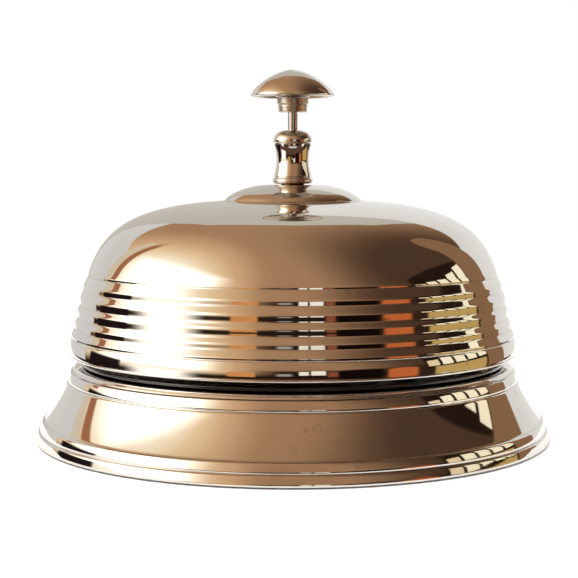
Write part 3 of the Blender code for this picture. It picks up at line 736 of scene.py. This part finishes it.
def rod():
    low, high, radius = low_of("plunger_rod"), high_of("plunger_rod"), radius_of("plunger_rod")
    tip = [(0, low), (0.3, low + 0.02)] + arc((radius - 0.55, low + 0.6), 0.55, -75, 0, 6)
    shank = line((radius, low + 1), (radius, high - 0.4), 40) + [(radius - 0.3, high), (0, high)]
    turned("rod", [(tip + shank, 0)], "spinner", ["bright_steel"], "plunger_rod", SMALL)


def knob():
    """A mushroom cap with a rolled rim, a hollow underside and a hub."""
    low, high, radius = low_of("knob"), high_of("knob"), radius_of("knob")
    height = high - low
    rim = arc((radius - 0.28, 0.3), 0.28, -120, 20, 10)
    dome = bezier([(radius - 0.02, 0.42), (10.0, 2.0), (5.0, height - 0.5), (0, height)], 60)
    hub = [(0, 3.0), (1.5, 2.9), (1.5, 0.1), (1.7, 0.0), (4.1, 0.0), (4.3, 0.15), (4.4, 1.3)]
    under = hub + bezier([(4.5, 1.6), (7.0, 1.5), (9.2, 0.9), (9.75, 0.25)], 14)
    sections = [(lift(under, low), 1), (lift(rim + dome, low), 0)]
    turned("knob_cap", sections, "spinner", NICKEL_OUT_AND_IN, "knob", MEDIUM)


def ferrule():
    """The small stepped collar under the knob."""
    low, high = low_of("knob_ferrule"), high_of("knob_ferrule")
    height = high - low
    foot = [(1.5, 0.1), (1.65, 0), (3.1, 0)] + arc((3.25, 0.25), 0.25, -90, 0, 6)
    body = line((3.52, 0.5), (3.6, 1.7), 4) + [(3.55, 1.84), (3.62, 1.95)]
    body += arc((3.62, 2.2), 0.24, -60, 10, 5) + [(3.88, 2.6), (3.9, height - 0.15), (3.75, height)]
    outline = foot + body + [(1.65, height), (1.5, height - 0.1)]
    sections = [(lift(outline, low), 1)]
    turned("ferrule_collar", sections, "spinner", NICKEL_OUT_AND_IN, "knob_ferrule", MEDIUM)


# Inside --------------------------------------------------------------------------------------------


SPRING_WIRE_RADIUS = 0.35
SPRING_TURNS, SPRING_END_TURNS = 6.5, 1.0
SPRING_SIDES, SPRING_STEPS = 14, 40  # facets round the wire, and rings to a turn
HAMMER_REACH, HAMMER_DROP = 36.5, 5.0  # from the pivot to the ball's centre


def stud():
    """The hollow stud, with a fine thread cut along its whole length."""
    low, high, radius = low_of("stud_tube"), high_of("stud_tube"), radius_of("stud_tube")
    pitch, depth, clearance, bore = 0.8, 0.26, 0.05, 1.5
    runout_length, least_depth = 0.5, 0.4

    def thread(r, height, angle):
        if r < radius - 0.1:
            return r
        turn = (height / pitch - angle / (2 * pi)) % 1
        runout = min((height - low) / runout_length, (high - height) / runout_length, 1)
        return r - clearance - depth * max(runout, least_depth) * abs(2 * turn - 1) ** 1.3

    outside = line((radius, low + 0.35), (radius, high - 0.35), 200)
    ends = [(bore, low + 0.1), (bore + 0.1, low), (radius - 0.5, low)]
    tops = [(radius - 0.5, high), (bore + 0.1, high), (bore, high - 0.1)]
    sections = [(ends + outside + tops, 0)]
    turned("threaded_stud", sections, "frame", ["brass"], "stud_tube", SMALL, None, thread)


def felt_pad():
    """The pressed felt under the base: its edge swells and frays a little."""
    high, radius = high_of("foot_pad"), radius_of("foot_pad")

    def fray(r, height, angle):
        if r < radius - 1.5:
            return r
        place = Vector((cos(angle), sin(angle), height * 0.2)) * 14
        swell, lint = 0.22 * noise.noise(place), 0.10 * noise.noise(place * 5)
        return r + swell + lint - 0.15

    rim = arc((radius - 0.55, 0.55), 0.5, -85, 0, 8) + arc((radius - 0.5, high - 0.5), 0.5, 0, 85, 8)
    outline = [(0, 0.02)] + line((4, 0.02), (radius - 1.0, 0.02), 24) + rim
    outline += line((radius - 1.0, high), (4, high), 6) + [(0, high)]
    turned("felt_foot", [(outline, 0)], "frame", ["green_felt"], "foot_pad", FINE, None, fray)


def coil():
    """The return spring: closed, ground end turns and open working turns."""
    low, high = low_of("return_spring"), high_of("return_spring")
    thick = SPRING_WIRE_RADIUS
    radius = radius_of("return_spring") - thick
    closed = 2 * thick * 1.02
    opened = high - low - 2 * thick - 2 * closed * SPRING_END_TURNS
    bm = bmesh.new()
    rings = []
    for step in range(int(SPRING_TURNS * SPRING_STEPS) + 1):
        turn = step / SPRING_STEPS
        open_share = (turn - SPRING_END_TURNS) / (SPRING_TURNS - 2 * SPRING_END_TURNS)
        ends = min(turn, SPRING_END_TURNS) + max(turn - SPRING_TURNS + SPRING_END_TURNS, 0)
        height = low + thick + closed * ends + opened * min(max(open_share, 0), 1)
        out = Vector((cos(2 * pi * turn), sin(2 * pi * turn), 0))
        ring = []
        for side in range(SPRING_SIDES):
            around = 2 * pi * side / SPRING_SIDES
            point = out * (radius + thick * cos(around)) + Vector((0, 0, height + thick * sin(around)))
            point.z = min(max(point.z, low), high)
            ring.append(bm.verts.new(point * MM))
        rings.append(ring)
    for first, second in zip(rings, rings[1:]):
        for side in range(SPRING_SIDES):
            after = (side + 1) % SPRING_SIDES
            bm.faces.new((first[side], first[after], second[after], second[side]))
    bm.faces.new(rings[0])
    bm.faces.new(rings[-1])
    bmesh.ops.recalc_face_normals(bm, faces=bm.faces)
    spring = finished("coil_spring", bm, "frame", ["spring_steel"], ["return_spring"], 70)
    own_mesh(spring)


def hammer_ball():
    """The turned brass ball on the end of the arm, with a flat and a chamfered bore behind."""
    low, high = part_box("hammer_head")
    centre = (low + high) / 2
    radius = (high.y - low.y) / 2 / MM
    lean = atan2(HAMMER_DROP, HAMMER_REACH)
    placement = Matrix.Translation(centre + Vector((0.2 * cos(lean), 0, -0.2 * sin(lean))) * MM)
    placement @= Matrix.Rotation(pi / 2 + lean, 4, "Y")
    flat = radius * sin(radians(60))
    face = [(1.3, 1.0), (1.3, 0.2 - flat), (1.5, -flat), (radius * 0.49, -flat)]
    ball = [(0, 1.0)] + face + arc((0, 0), radius - 0.02, -58, 88, 30) + [(0, radius - 0.02)]
    turned("hammer_ball", [(ball, 0)], "striker", ["brass"], "hammer_head", 64, placement)


def carried_over():
    """The CAD pieces whose own shape is right."""
    numbered = [f"{name}_{number}" for name in ("standoff", "cover_screw") for number in (1, 2, 3)]
    refinish(["yoke_frame", "lower_guide", "bottom_cover"] + numbered, "zinc_steel", 0.18)
    rivets = [f"yoke_rivet_{number}" for number in (1, 2, 3, 4)]
    refinish(rivets + ["pivot_pin", "striker_lever", "arm_set_screw"], "bright_steel", 0.12)
    refinish(["retaining_clip", "pivot_clip", "hammer_arm"], "spring_steel", 0.06)
    turned_brass = ["stud_lower_nut", "stud_upper_nut", "gong_collar", "spring_cup"]
    refinish(turned_brass + ["pivot_spacer_front", "pivot_spacer_back"], "brass", 0.12)
    refinish(["seat_washer"], "red_fibre", 0.1)
    refinish(["rest_buffer"], "black_rubber", 0.25)


bpy.context.scene.view_settings.view_transform = "Standard"
room()
cards()
floor()
lamp("soft_top_light", azimuth=-30, elevation=62, distance=1.1, size=0.7, power=6.0)
camera()
gong()
base()
deck()
finial()
rod()
knob()
ferrule()
stud()
felt_pad()
coil()
hammer_ball()
carried_over()
